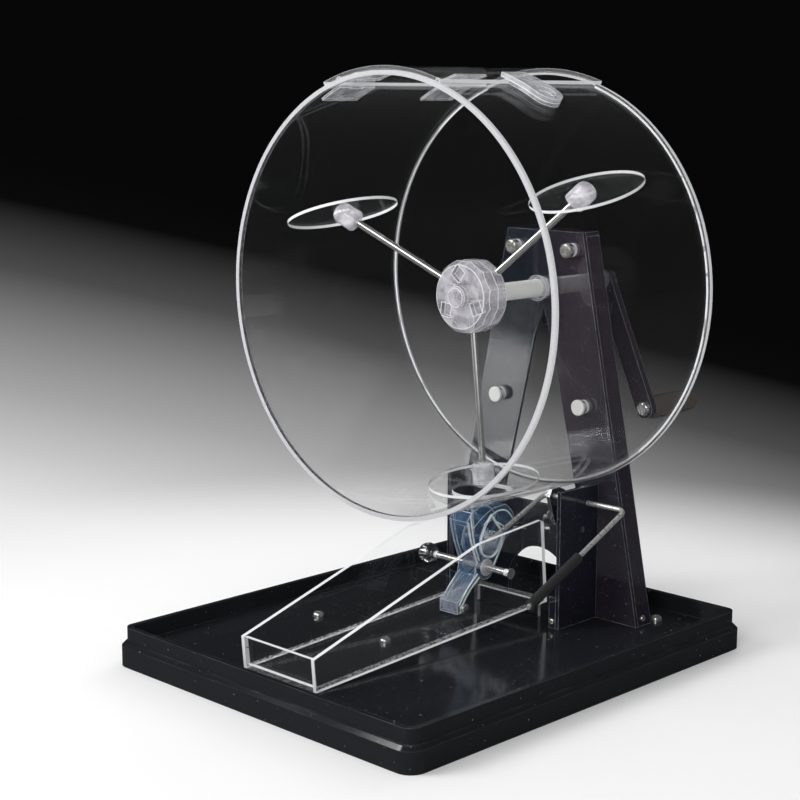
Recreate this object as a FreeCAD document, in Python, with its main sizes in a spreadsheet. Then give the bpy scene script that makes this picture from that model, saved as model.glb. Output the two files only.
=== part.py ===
import FreeCAD, Part
import Sketcher
import math
import os
import re

# Hand-cranked lottery drum. Millimetres and degrees. The origin is on the ground, in the middle of the
# outline of the whole object seen from above. X is to the right seen from the front, Y runs to the rear
# and Z is up. Angles round the drum are measured from its top towards +X.

Vector = FreeCAD.Vector
Rotation = FreeCAD.Rotation
Placement = FreeCAD.Placement

SIZES = {
    # Tray
    "tray_width": 290,
    "tray_depth": 346,
    "tray_centre": -36,
    "tray_skirt_top": 17,
    "tray_ledge": 4,
    "tray_ledge_drop": 2.5,
    "tray_corner": 12,
    "rim_corner": 8,
    "rim_top": 27.5,
    "rim_thick": 3.5,
    "skirt_thick": 3,
    "floor_top": 15,
    "floor_thick": 3,
    # Tray screws: two in front, one under the chute, one behind the stand
    "base_screw_radius": 2,
    "base_head_radius": 4.2,
    # Sheet of the stand and of the drum
    "sheet_thick": 3,
    # Stand
    "panel_front": 78,
    "stand_depth": 18,
    "stand_top": 297,
    "stand_top_half": 35.5,
    "stand_foot_half": 92,
    "vee_apex": 240,
    "vee_shoulder": 219,
    "vee_shoulder_half": 8,
    "vee_foot": 92,
    "vee_foot_half": 37.5,
    "arch_half": 30,
    "arch_spring": 28,
    "rear_plate_foot": 225,
    # Wings under the drum
    "wing_inner": 52,
    "wing_front": 35,
    "wing_top": 116,
    "wing_slot_high": 84.7,
    "foot_block_high": 38,
    "foot_block_deep": 9,
    "foot_block_wide": 6,
    # Drum
    "drum_axis": 260,
    "drum_radius": 150,
    "drum_front": -90,
    "drum_rear": 75,
    "hatch_left": -20.5,
    "hatch_right": 19,
    "outlet_centre": 13,
    "outlet_radius": 22,
    # Drum fixings
    "upper_screw_across": 26,
    "upper_screw_high": 284,
    "lower_cap_across": 40,
    "lower_cap_high": 171,
    "fixing_radius": 2.5,
    # Hatch lid
    "lid_inner": 150.4,
    "lid_outer": 152.9,
    "lid_left": -21.5,
    "lid_right": 20,
    "lid_front": -89.5,
    "lid_rear": 74.5,
    "hinge_angle": -22.2,
    "hinge_reach": 155.6,
    "hinge_barrel": 2.2,
    "hinge_pin": 1,
    "hinge_long": 33,
    "hinge_first": -73,
    "hinge_second": 25,
    "tab_centre": -12,
    "tab_half": 11.5,
    "tab_hole": 6.5,
    "tab_hole_angle": 28.6,
    # Axle and stirrer
    "axle_high": 255,
    "axle_radius": 6.5,
    "axle_bore": 3,
    "axle_rear": 148,
    "bush_radius": 8,
    "bush_flange": 9.5,
    "hub_centre": -1,
    "hub_half": 12,
    "hub_radius": 26,
    "hub_cap_radius": 8,
    "hub_cap_long": 5,
    "rod_radius": 2.5,
    "rod_start": 12,
    "paddle_radius": 40,
    "paddle_thick": 2,
    "holder_radius": 8.0,
    # Crank
    "crank_length": 103.5,
    "crank_angle": 24,
    "crank_wide": 15,
    "crank_thick": 6,
    "grip_radius": 8.5,
    "grip_long": 53,
    "grip_screw_radius": 3,
    # Chute
    "chute_left": -42,
    "chute_right": 30,
    "chute_front": -178,
    "chute_rear": 52,
    "chute_rear_high": 27,
    # Ball gate
    "gate_pivot": 8.5,
    "gate_high": 57.5,
    "gate_half": 8.5,
    "gate_bolt": 2.5,
    "gate_knob": 7.6,
    "stop_radius": 2.2,
    "stop_long": 27,
    "stop_socket": 12,
    # Lever
    "lever_axis": 66,
    "lever_high": 103.5,
    "lever_wire": 1.75,
    "lever_bend": 5,
    "lever_outer": 88.6,
    "lever_inner": 15,
    "lever_grip": 3.6,
    # Clearances: still joints and turning joints
    "snug": 0.04,
    "running": 0.08,
}

# Paddle centres and the directions that their upper faces look to
PADDLES = {
    "left": (Vector(-89, -41, 310.5), Vector(-0.318, 0.04, 0.947)),
    "right": (Vector(76.2, 30, 329.8), Vector(-0.044, -0.304, 0.951)),
    "lower": (Vector(4, 10, 121), Vector(-0.03, -0.12, 0.99)),
}

# Places of the tray's four screws
BASE_SCREWS = [("-91", "-65"), ("-13", "-73"), ("-27", "24"), ("91", "104")]

document = FreeCAD.newDocument("raffle_drum")
sheet = document.addObject("Spreadsheet::Sheet", "Sizes")
ALIASES = re.compile(r"\b(%s)\b" % "|".join(sorted(SIZES, key=len, reverse=True)))
PLANES = {"XY_Plane": 1, "XZ_Plane": -1, "YZ_Plane": 1}
AXES = {"x": Vector(1, 0, 0), "y": Vector(0, 1, 0), "z": Vector(0, 0, 1)}
nodes = {}


def fill_sheet():
    """Writes the driving sizes into the spreadsheet, one alias to a cell."""
    for row, (alias, value) in enumerate(SIZES.items(), 1):
        sheet.set("A%d" % row, alias)
        sheet.set("B%d" % row, str(value))
        sheet.setAlias("B%d" % row, alias)
    document.recompute()


def size(alias):
    """A driving size, read from the sheet."""
    return float(sheet.get(alias))


def bound(expression):
    """The expression with each alias written as a cell of the sheet."""
    return ALIASES.sub(r"Sizes.\1", expression)


def number(expression):
    """The present value of an expression in aliases."""
    text = ALIASES.sub(lambda word: "(%r)" % size(word.group()), expression)
    degree = "(%.12f * " % math.radians(1)
    text = text.replace("sin(", "sin" + degree).replace("cos(", "cos" + degree)
    return FreeCAD.Units.Quantity(text).Value


def bind(thing, name, expression):
    """Ties a property to the sheet."""
    thing.setExpression(name, bound(expression))


def place(thing, at, along="z"):
    """Ties the thing's place to the sheet and turns its Z axis to a direction."""
    direction = AXES[along] if isinstance(along, str) else along
    thing.Placement = Placement(Vector(), Rotation(AXES["z"], direction))
    for axis, expression in zip("xyz", at):
        bind(thing, "Placement.Base.%s" % axis, expression)
    return thing


def node(name, thing):
    """Names a finished sub-part."""
    thing.Label = name
    nodes[name] = thing
    return thing


def block(name, x, y, z):
    """A box between two sizes along each axis."""
    box = document.addObject("Part::Box", name)
    for side, (low, high) in zip(("Length", "Width", "Height"), (x, y, z)):
        bind(box, side, "(%s) - (%s)" % (high, low))
    return place(box, (x[0], y[0], z[0]))


def rod(name, at, along, radius, length):
    """A round bar that starts at a point and runs along a direction."""
    bar = document.addObject("Part::Cylinder", name)
    bind(bar, "Radius", radius)
    bind(bar, "Height", length)
    return place(bar, at, along)


def prism(name, sides, at, along, radius, length):
    """A regular prism, by the radius to its corners."""
    solid = document.addObject("Part::Prism", name)
    solid.Polygon = sides
    bind(solid, "Circumradius", radius)
    bind(solid, "Height", length)
    return place(solid, at, along)


def cut(base, *tools):
    """The base less each tool in turn."""
    for tool in tools:
        result = document.addObject("Part::Cut", base.Name + "_cut")
        result.Base = base
        result.Tool = tool
        base = result
    return base


def fuse(base, *others):
    """One solid from several."""
    result = document.addObject("Part::MultiFuse", base.Name + "_whole")
    result.Shapes = [base, *others]
    return result


def group(*things):
    """Separate identical solids that share one node."""
    result = document.addObject("Part::Compound", things[0].Name + "_group")
    result.Links = list(things)
    return result


def add_arc(sketch, start, finish, corner):
    """Adds a corner's arc to the next corner, and returns it with its first and last ends."""
    via = Vector(number(corner[2]), number(corner[3]), 0)
    circle = Part.Circle(start, via, finish)
    centre = circle.Center
    turns_left = (via - start).cross(finish - via).z > 0
    first, last = (start, finish) if turns_left else (finish, start)
    angles = [math.atan2(p.y - centre.y, p.x - centre.x) for p in (first, last)]
    round_edge = Part.Circle(centre, AXES["z"], circle.Radius)
    edge = sketch.addGeometry(Part.ArcOfCircle(round_edge, *angles))
    known = corner[4:] if len(corner) == 6 else ("%.9f" % centre.x, "%.9f" % centre.y)
    chord = finish - start
    if abs(chord.y) > abs(chord.x):
        tie(sketch, edge, 3, "DistanceX", known[0])
    else:
        tie(sketch, edge, 3, "DistanceY", known[1])
    return (edge, 1, 2) if turns_left else (edge, 2, 1)


def tie(sketch, edge, end, kind, expression):
    """Ties one coordinate of a point of the sketch to sizes of the sheet."""
    limit = Sketcher.Constraint(kind, -1, 1, edge, end, number(expression))
    sketch.setExpression("Constraints[%d]" % sketch.addConstraint(limit), bound(expression))


def tie_point(sketch, edge, end, across, up):
    """Ties a point of the sketch to sizes of the sheet."""
    tie(sketch, edge, end, "DistanceX", across)
    tie(sketch, edge, end, "DistanceY", up)


def add_outline(sketch, outline):
    """A closed outline. A corner of more values starts an arc: a point that it passes through comes
    next, and then, where it is known, its centre."""
    points = [Vector(number(corner[0]), number(corner[1]), 0) for corner in outline]
    edges = []
    for start, finish, corner in zip(points, points[1:] + points[:1], outline):
        if len(corner) > 2:
            edges.append(add_arc(sketch, start, finish, corner))
        else:
            edges.append((sketch.addGeometry(Part.LineSegment(start, finish)), 1, 2))
    for (edge, first, last), following, corner in zip(edges, edges[1:] + edges[:1], outline):
        sketch.addConstraint(Sketcher.Constraint("Coincident", edge, last, following[0], following[1]))
        tie_point(sketch, edge, first, corner[0], corner[1])


def add_hole(sketch, across, up, radius):
    """A round hole in the outline."""
    circle = Part.Circle(Vector(number(across), number(up), 0), AXES["z"], number(radius))
    edge = sketch.addGeometry(circle)
    tie_point(sketch, edge, 3, across, up)
    limit = sketch.addConstraint(Sketcher.Constraint("Radius", edge, number(radius)))
    sketch.setExpression("Constraints[%d]" % limit, bound(radius))


def new_sketch(body, role, offset="0"):
    """A sketch on one of the body's own planes, moved along the plane's normal."""
    sketch = body.newObject("Sketcher::SketchObject", body.Name + "_sketch")
    plane = next(item for item in body.Origin.OriginFeatures if item.Role == role)
    sketch.AttachmentSupport = (plane, [""])
    sketch.MapMode = "FlatFace"
    bind(sketch, ".AttachmentOffset.Base.z", "%d * (%s)" % (PLANES[role], offset))
    return sketch


def plate(name, role, low, high, outline, windows=(), holes=()):
    """A flat plate between two sizes along its plane's normal axis."""
    body = document.addObject("PartDesign::Body", name)
    sketch = new_sketch(body, role, low)
    for closed in (outline, *windows):
        add_outline(sketch, closed)
    for hole in holes:
        add_hole(sketch, *hole)
    pad = body.newObject("PartDesign::Pad", name + "_pad")
    pad.Profile = sketch
    pad.Reversed = PLANES[role] < 0
    bind(pad, "Length", "(%s) - (%s)" % (high, low))
    return body


def turned(name, outline, at, along):
    """A piece turned on a lathe: the outline is (radius, height) and height runs along a direction."""
    body = document.addObject("PartDesign::Body", name)
    sketch = new_sketch(body, "XZ_Plane")
    add_outline(sketch, outline)
    turn = body.newObject("PartDesign::Revolution", name + "_turn")
    turn.Profile = sketch
    turn.ReferenceAxis = (sketch, ["V_Axis"])
    turn.Angle = 360
    return place(body, at, along)


def mirrored(outline):
    """The same outline on the other side of the plane X = 0."""
    return [tuple("-(%s)" % v if i % 2 == 0 else v for i, v in enumerate(corner)) for corner in outline]


def ring(across, up, start, finish, inner, outer):
    """The outline of a bent sheet: a piece of a ring between two angles from the top."""
    middle = "(((%s) + (%s)) / 2)" % (start, finish)
    start, finish = "(%s)" % start, "(%s)" % finish

    def point(radius, angle):
        return (
            "%s + (%s) * sin(%s)" % (across, radius, angle),
            "%s + (%s) * cos(%s)" % (up, radius, angle),
        )

    return [
        point(inner, start) + point(inner, middle) + (across, up),
        point(inner, finish),
        point(outer, finish) + point(outer, middle) + (across, up),
        point(outer, start),
    ]


def rectangle(left, right, low, high):
    """The outline of a rectangle."""
    return [(left, low), (right, low), (right, high), (left, high)]


def drum_point(radius, angle):
    """X and Z of a point near the drum's wall."""
    return "(%s) * sin(%s)" % (radius, angle), "drum_axis + (%s) * cos(%s)" % (radius, angle)


def drum_direction(angle):
    """The direction that points away from the drum's axis."""
    turn = math.radians(number(angle))
    return Vector(math.sin(turn), 0, math.cos(turn))


# ---------------------------------------------------------------- tray


def rounded_pad(body, name, half_wide, half_deep, low, high, corner, feature="PartDesign::Pad"):
    """A pad, or a pocket, of a rectangle with round corners between two heights."""
    sketch = body.newObject("Sketcher::SketchObject", name + "_sketch")
    plane = next(item for item in body.Origin.OriginFeatures if item.Role == "XY_Plane")
    sketch.AttachmentSupport = (plane, [""])
    sketch.MapMode = "FlatFace"
    bind(sketch, ".AttachmentOffset.Base.z", low)
    dent = "(%s) * %.6f" % (corner, 1 - math.sqrt(0.5))
    wide, deep = "(%s)" % half_wide, "(%s)" % half_deep
    near_wide, near_deep = "(%s - (%s))" % (wide, corner), "(%s - (%s))" % (deep, corner)
    via_wide, via_deep = "(%s - %s)" % (wide, dent), "(%s - %s)" % (deep, dent)
    add_outline(
        sketch,
        [
            ("-" + near_wide, "-" + deep),
            (near_wide, "-" + deep, via_wide, "-" + via_deep, near_wide, "-" + near_deep),
            (wide, "-" + near_deep),
            (wide, near_deep, via_wide, via_deep, near_wide, near_deep),
            (near_wide, deep),
            ("-" + near_wide, deep, "-" + via_wide, via_deep, "-" + near_wide, near_deep),
            ("-" + wide, near_deep),
            ("-" + wide, "-" + near_deep, "-" + via_wide, "-" + via_deep, "-" + near_wide, "-" + near_deep),
        ],
    )
    result = body.newObject(feature, name)
    result.Profile = sketch
    if feature == "PartDesign::Pocket":
        result.Reversed = True
    bind(result, "Length", "(%s) - (%s)" % (high, low))
    return result


def make_tray():
    """A moulded tray: skirt, sloping ledge, rim wall and a sunk floor, hollow underneath."""
    body = document.addObject("PartDesign::Body", "tray_blank")
    half_wide, half_deep = "tray_width / 2", "tray_depth / 2"
    skirt = rounded_pad(body, "skirt", half_wide, half_deep, "0", "tray_skirt_top", "tray_corner")
    document.recompute()
    ledge = body.newObject("PartDesign::Chamfer", "ledge")
    top_edges = [
        "Edge%d" % (index + 1)
        for index, edge in enumerate(skirt.Shape.Edges)
        if min(vertex.Z for vertex in edge.Vertexes) > size("tray_skirt_top") - 0.1
    ]
    ledge.Base = (skirt, top_edges)
    bind(ledge, "Size", "tray_ledge_drop")
    rim_wide, rim_deep = "tray_width / 2 - tray_ledge", "tray_depth / 2 - tray_ledge"
    rounded_pad(body, "rim", rim_wide, rim_deep, "tray_skirt_top", "rim_top", "rim_corner")
    inner_wide, inner_deep = rim_wide + " - rim_thick", rim_deep + " - rim_thick"
    inner_corner = "rim_corner - rim_thick"
    rounded_pad(
        body, "well", inner_wide, inner_deep, "floor_top", "rim_top", inner_corner, "PartDesign::Pocket"
    )
    rounded_pad(
        body,
        "underside",
        half_wide + " - skirt_thick",
        half_deep + " - skirt_thick",
        "0",
        "floor_top - floor_thick",
        "tray_corner - skirt_thick",
        "PartDesign::Pocket",
    )
    place(body, ("0", "tray_centre", "0"))
    holes = [
        rod(
            "tray_hole_%d" % index,
            (across, along, "0"),
            "z",
            "base_screw_radius + snug",
            "rim_top",
        )
        for index, (across, along) in enumerate(BASE_SCREWS)
    ]
    return node("base_tray", cut(body, *holes))


def pan_screw(name, at, along, head_radius, head_high, shank_radius, shank_long):
    """A pan screw whose head starts at a point and whose shank runs back from there."""
    return turned(
        name,
        [
            ("0", "-(%s)" % shank_long),
            (shank_radius, "-(%s)" % shank_long),
            (shank_radius, "0"),
            (head_radius, "0"),
            (
                head_radius,
                "(%s) * 0.45" % head_high,
                "(%s) * 0.85" % head_radius,
                "(%s) * 0.83" % head_high,
            ),
            ("(%s) * 0.5" % head_radius, head_high),
            ("0", head_high),
        ],
        at,
        along,
    )


def make_base_fixings():
    """Four screws through the tray's floor, each with a washer face, a cross slot and a nut below."""
    screws = []
    nuts = []
    for index, (across, along) in enumerate(BASE_SCREWS):
        at = (across, along, "floor_top")
        head = pan_screw(
            "base_screw_%d" % index, at, "z", "base_head_radius", "3.4", "base_screw_radius", "8"
        )
        slots = [
            block(
                "base_slot_%d_%s" % (index, name),
                ("%s - %s" % (across, wide), "%s + %s" % (across, wide)),
                ("%s - %s" % (along, deep), "%s + %s" % (along, deep)),
                ("floor_top + 2", "floor_top + 5"),
            )
            for name, wide, deep in (("across", "2", "0.4"), ("along", "0.4", "2"))
        ]
        screws.append(cut(head, *slots))
        nut_at = (across, along, "floor_top - floor_thick - 3.2")
        blank = prism("base_nut_%d" % index, 6, nut_at, "z", "4", "3.2")
        bore = rod("base_nut_bore_%d" % index, nut_at, "z", "base_screw_radius + snug", "3.2")
        nuts.append(cut(blank, bore))
    node("base_screws", group(*screws))
    node("base_nuts", group(*nuts))


# ---------------------------------------------------------------- stand


def stand_half(height):
    """Half the stand's width at a height."""
    rise = "((%s) - floor_top) / (stand_top - floor_top)" % height
    return "(stand_foot_half - (stand_foot_half - stand_top_half) * %s)" % rise


FIXINGS = [
    ("upper_left", "-upper_screw_across", "upper_screw_high"),
    ("upper_right", "upper_screw_across", "upper_screw_high"),
    ("lower_left", "-lower_cap_across", "lower_cap_high"),
    ("lower_right", "lower_cap_across", "lower_cap_high"),
]


def make_stand():
    """The tapered panel, its slanted side plates, the top plate and the rear plate."""
    top_plate_low = "stand_top - sheet_thick"
    vee = [
        ("0", "vee_apex"),
        ("-vee_shoulder_half", "vee_shoulder"),
        ("-vee_foot_half", "vee_foot"),
        ("vee_foot_half", "vee_foot"),
        ("vee_shoulder_half", "vee_shoulder"),
    ]
    outline = [
        ("-stand_foot_half", "floor_top"),
        ("-arch_half", "floor_top"),
        ("-arch_half", "arch_spring", "0", "arch_spring + arch_half", "0", "arch_spring"),
        ("arch_half", "arch_spring"),
        ("arch_half", "floor_top"),
        ("stand_foot_half", "floor_top"),
        ("stand_top_half", "stand_top"),
        ("-stand_top_half", "stand_top"),
    ]
    holes = [(across, high, "fixing_radius + snug") for _, across, high in FIXINGS]
    holes.append(("0", "axle_high", "bush_radius + snug"))
    rear = "panel_front + sheet_thick"
    node(
        "stand_front_panel",
        plate("stand_front_panel", "XZ_Plane", "panel_front", rear, outline, [vee], holes),
    )
    for side, sign in (("left", -1), ("right", 1)):
        foot, head = stand_half("floor_top"), stand_half(top_plate_low)
        slant = [
            (foot, "floor_top"),
            (head, top_plate_low),
            (head + " - sheet_thick", top_plate_low),
            (foot + " - sheet_thick", "floor_top"),
        ]
        if sign < 0:
            slant = mirrored(slant)
        blank = plate(
            "stand_side_%s_blank" % side, "XZ_Plane", rear, "panel_front + stand_depth", slant
        )
        node("stand_side_" + side, cut(blank, foot_screw_bore("stand_side_" + side, sign)))
    head = stand_half(top_plate_low)
    node(
        "stand_top_plate",
        plate(
            "stand_top_plate",
            "XZ_Plane",
            rear,
            "panel_front + stand_depth",
            [
                ("-" + head, top_plate_low),
                (head, top_plate_low),
                ("stand_top_half", "stand_top"),
                ("-stand_top_half", "stand_top"),
            ],
        ),
    )
    low, high = stand_half("rear_plate_foot") + " - sheet_thick", head + " - sheet_thick"
    node(
        "stand_rear_plate",
        plate(
            "stand_rear_plate",
            "XZ_Plane",
            "panel_front + stand_depth - sheet_thick",
            "panel_front + stand_depth",
            [
                ("-(%s)" % low, "rear_plate_foot"),
                (low, "rear_plate_foot"),
                (high, top_plate_low),
                ("-(%s)" % high, top_plate_low),
            ],
            holes=[("0", "axle_high", "bush_radius + snug")],
        ),
    )


def side_normal(sign):
    """The outward normal of a slanted side plate."""
    drop = size("stand_top") - size("floor_top")
    spread = size("stand_foot_half") - size("stand_top_half")
    return Vector(sign * drop, 0, spread).normalize()


FOOT_SCREW_HIGH = "floor_top + 5"
FOOT_SCREW_DEEP = "panel_front + 9"


def foot_screw_place(sign):
    """Where a side plate's foot screw sits on the plate's outer face."""
    return "%d * %s" % (sign, stand_half(FOOT_SCREW_HIGH)), FOOT_SCREW_DEEP, FOOT_SCREW_HIGH


def foot_screw_bore(name, sign):
    """The hole for a side plate's foot screw."""
    return rod(name + "_bore", foot_screw_place(sign), -side_normal(sign), "1.2 + snug", "8")


def make_wings():
    """The two upright wings under the drum, with foot blocks on their inner sides."""
    feet = []
    for side, sign in (("left", -1), ("right", 1)):
        low, high = "wing_inner", "wing_inner + sheet_thick"
        if sign < 0:
            low, high = "-(%s)" % high, "-(%s)" % low
        outline = rectangle("wing_front", "panel_front", "floor_top", "wing_top")
        holes = []
        if sign > 0:
            holes.append(("lever_axis", "lever_high", "lever_wire + running"))
            holes.append(("lever_axis - 5.5", "wing_slot_high", "1.6"))
        node("wing_" + side, plate("wing_" + side, "YZ_Plane", low, high, outline, holes=holes))
        inner, outer = "wing_inner - foot_block_wide", "wing_inner"
        if sign < 0:
            inner, outer = "-(%s)" % outer, "-(%s)" % inner
        foot = block(
            "wing_foot_%s_blank" % side,
            (inner, outer),
            ("wing_front", "wing_front + foot_block_deep"),
            ("floor_top", "foot_block_high"),
        )
        bore = rod("wing_foot_%s_bore" % side, wing_screw_place(sign), "y", "1.2 + snug", "7")
        feet.append(cut(foot, bore))
    node("wing_feet", group(*feet))


def wing_screw_place(sign):
    """Where a foot block's screw sits on the block's front face."""
    return "%d * (wing_inner - foot_block_wide / 2)" % sign, "wing_front", "floor_top + 5"


def make_foot_screws():
    """Small screws in the foot blocks and at the foot of the side plates."""
    screws = []
    for side, sign in (("left", -1), ("right", 1)):
        screws.append(
            pan_screw(
                "foot_screw_" + side,
                foot_screw_place(sign),
                side_normal(sign),
                "2.3",
                "1.5",
                "1.2",
                "7",
            )
        )
        screws.append(
            pan_screw(
                "wing_screw_" + side, wing_screw_place(sign), -AXES["y"], "2.3", "1.5", "1.2", "6"
            )
        )
    node("stand_foot_screws", group(*screws))


def make_lever_clip():
    """The upright plate on the panel in which the inner end of the lever turns."""
    low = "lever_inner + 6"
    node(
        "lever_clip",
        plate(
            "lever_clip",
            "YZ_Plane",
            low,
            low + " + sheet_thick",
            [
                ("panel_front", "vee_foot - 14"),
                ("panel_front", "lever_high + 3"),
                ("panel_front - 6", "lever_high + 5.5"),
                ("lever_axis - 3", "lever_high + 5.5"),
                ("lever_axis - 6", "lever_high"),
                ("lever_axis", "vee_foot - 8"),
            ],
            holes=[("lever_axis", "lever_high", "lever_wire + running")],
        ),
    )


# ---------------------------------------------------------------- drum


def make_drum():
    """A ring wall, open on top for the hatch and below for the ball outlet, between two discs."""
    inner = "drum_radius - sheet_thick"
    wall = plate(
        "drum_wall",
        "XZ_Plane",
        "drum_front + sheet_thick",
        "drum_rear - sheet_thick",
        ring("0", "drum_axis", "hatch_right", "hatch_left + 360", inner, "drum_radius"),
    )
    outlet = rod(
        "outlet_bore",
        ("0", "outlet_centre", "drum_axis - drum_radius - 5"),
        "z",
        "outlet_radius",
        "sheet_thick + 10",
    )
    node("drum_shell", cut(wall, outlet))
    front = rod(
        "drum_front_disc", ("0", "drum_front", "drum_axis"), "y", "drum_radius", "sheet_thick"
    )
    node("drum_front_disc", front)
    rear_at = "drum_rear - sheet_thick"
    disc = rod("drum_rear_blank", ("0", rear_at, "drum_axis"), "y", "drum_radius", "sheet_thick")
    bores = [
        rod("rear_%s_bore" % name, (across, rear_at, high), "y", "fixing_radius + snug", "sheet_thick")
        for name, across, high in FIXINGS
    ]
    bores.append(
        rod("rear_axle_bore", ("0", rear_at, "axle_high"), "y", "bush_radius + snug", "sheet_thick")
    )
    node("drum_rear_disc", cut(disc, *bores))


def make_drum_fixings():
    """Slotted pan screws above, flat caps below, and a spacer and a nut on each."""
    spacers = []
    nuts = []
    heads = {"upper": [], "lower": []}
    face = "drum_rear - sheet_thick"
    for name, across, high in FIXINGS:
        row = name.split("_")[0]
        at = (across, face, high)
        if row == "upper":
            screw = pan_screw(
                "drum_screw_" + name, at, -AXES["y"], "5.4", "2.6", "fixing_radius", "14.5"
            )
            slot = block(
                "drum_slot_" + name,
                ("%s - 6" % across, "%s + 6" % across),
                (face + " - 4", face + " - 1.4"),
                ("%s - 0.6" % high, "%s + 0.6" % high),
            )
            heads[row].append(cut(screw, slot))
        else:
            heads[row].append(flat_cap("drum_cap_" + name, at))
        spacer = rod("spacer_%s_blank" % name, (across, "drum_rear", high), "y", "5", "sheet_thick")
        bore = rod(
            "spacer_%s_bore" % name,
            (across, "drum_rear", high),
            "y",
            "fixing_radius + snug",
            "sheet_thick",
        )
        spacers.append(cut(spacer, bore))
        nut_at = (across, "panel_front + sheet_thick", high)
        nut = prism("drum_nut_%s_blank" % name, 6, nut_at, "y", "4.6", "4")
        nut_bore = rod("drum_nut_%s_bore" % name, nut_at, "y", "fixing_radius + snug", "4")
        nuts.append(cut(nut, nut_bore))
    node("drum_upper_screws", group(*heads["upper"]))
    node("drum_lower_caps", group(*heads["lower"]))
    node("drum_spacers", group(*spacers))
    node("drum_mount_nuts", group(*nuts))


def flat_cap(name, at):
    """A low round cap screw with a chamfered rim."""
    return turned(
        name,
        [
            ("0", "-14.5"),
            ("fixing_radius", "-14.5"),
            ("fixing_radius", "0"),
            ("5.8", "0"),
            ("5.8", "1.7"),
            ("5.2", "2.2"),
            ("0", "2.2"),
        ],
        at,
        -AXES["y"],
    )


# ---------------------------------------------------------------- hatch

HINGES = [("front", "hinge_first"), ("rear", "hinge_second")]
KNUCKLE_GAP = "0.35"


def knuckle(name, start, length):
    """One knuckle of a hinge barrel, bored for the pin."""
    across, high = drum_point("hinge_reach", "(hinge_angle)")
    at = (across, start, high)
    barrel = rod(name, at, "y", "hinge_barrel", length)
    bore = rod(name + "_bore", at, "y", "hinge_pin + running", length)
    return barrel, bore


def leaf(name, start, length, low_angle, high_angle, inner, outer):
    """The bent flat part of a hinge leaf."""
    return plate(
        name,
        "XZ_Plane",
        start,
        "%s + %s" % (start, length),
        ring("0", "drum_axis", low_angle, high_angle, inner, outer),
    )


def make_hinges():
    """Two hinges of three knuckles: the middle knuckle is the lid's, the outer two are the drum's."""
    lid_leaves = []
    shell_leaves = []
    pins = []
    third = "(hinge_long / 3)"
    short = "(hinge_long / 3 - %s)" % KNUCKLE_GAP
    for name, start in HINGES:
        middle = "%s + %s + %s / 2" % (start, third, KNUCKLE_GAP)
        last = "%s + 2 * %s + %s" % (start, third, KNUCKLE_GAP)
        barrel, bore = knuckle("lid_knuckle_" + name, middle, short)
        web = leaf(
            "lid_web_" + name, middle, short, "hinge_angle + 0.2", "lid_left + 3", "153.7", "155.5"
        )
        flat = leaf(
            "lid_leaf_" + name, start, "hinge_long", "lid_left + 1.4", "lid_left + 6", "lid_outer", "154.5"
        )
        lid_leaves.append(cut(fuse(barrel, web, flat), bore))
        outer = []
        bores = []
        for end, place_at in (("near", start), ("far", last)):
            barrel, bore = knuckle("shell_knuckle_%s_%s" % (end, name), place_at, short)
            foot = leaf(
                "shell_web_%s_%s" % (end, name),
                place_at,
                short,
                "hinge_angle - 1.4",
                "hinge_angle - 0.2",
                "drum_radius",
                "155.4",
            )
            outer += [barrel, foot]
            bores.append(bore)
        base = leaf(
            "shell_leaf_" + name, start, "hinge_long", "-30", "hinge_angle - 0.9", "drum_radius", "151.8"
        )
        shell_leaves.append(cut(fuse(base, *outer), *bores))
        across, high = drum_point("hinge_reach", "(hinge_angle)")
        pins.append(rod("hinge_pin_" + name, (across, start, high), "y", "hinge_pin", "hinge_long"))
    node("hinge_lid_leaves", group(*lid_leaves))
    node("hinge_shell_leaves", group(*shell_leaves))
    node("hinge_pins", group(*pins))


def tongue(name, inner, outer, start, finish):
    """One layer of the finger tab: a bent strip with a round end and a finger hole."""
    layer = plate(
        name + "_strip",
        "XZ_Plane",
        "tab_centre - tab_half",
        "tab_centre + tab_half",
        ring("0", "drum_axis", start, finish, inner, outer),
    )
    hole_across, hole_high = drum_point("drum_radius - 5", "(tab_hole_angle)")
    at = (hole_across, "tab_centre", hole_high)
    out = drum_direction("tab_hole_angle")
    end = rod(name + "_end", at, out, "tab_half", "20")
    run = block(
        name + "_run",
        ("-tab_half * 4", "0"),
        ("-tab_half", "tab_half"),
        ("0", "20"),
    )
    run.Placement = Placement(Vector(), Rotation(AXES["y"], number("tab_hole_angle")))
    shift = run.Placement.Rotation.multVec(Vector(-4 * size("tab_half"), 0, 0))
    for axis, expression, offset in zip("xyz", at, (shift.x, -size("tab_half"), shift.z)):
        bind(run, "Placement.Base.%s" % axis, "%s + %.6f" % (expression, offset))
    outline = fuse(end, run)
    strip = document.addObject("Part::Common", name + "_rounded")
    strip.Base = layer
    strip.Tool = outline
    hole = rod(name + "_hole", at, out, "tab_hole", "20")
    return node(name, cut(strip, hole))


def make_hatch():
    """The bent lid, which lies on the edges of wall and discs, and the two layers of its tab."""
    node(
        "hatch_lid",
        plate(
            "hatch_lid",
            "XZ_Plane",
            "lid_front",
            "lid_rear",
            ring("0", "drum_axis", "lid_left", "lid_right", "lid_inner", "lid_outer"),
        ),
    )
    tongue("lid_tab_upper", "lid_outer", "lid_outer + sheet_thick", "17", "35")
    tongue("lid_tab_lower", "lid_inner", "lid_outer", "lid_right", "35")


# ---------------------------------------------------------------- stirrer


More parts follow.
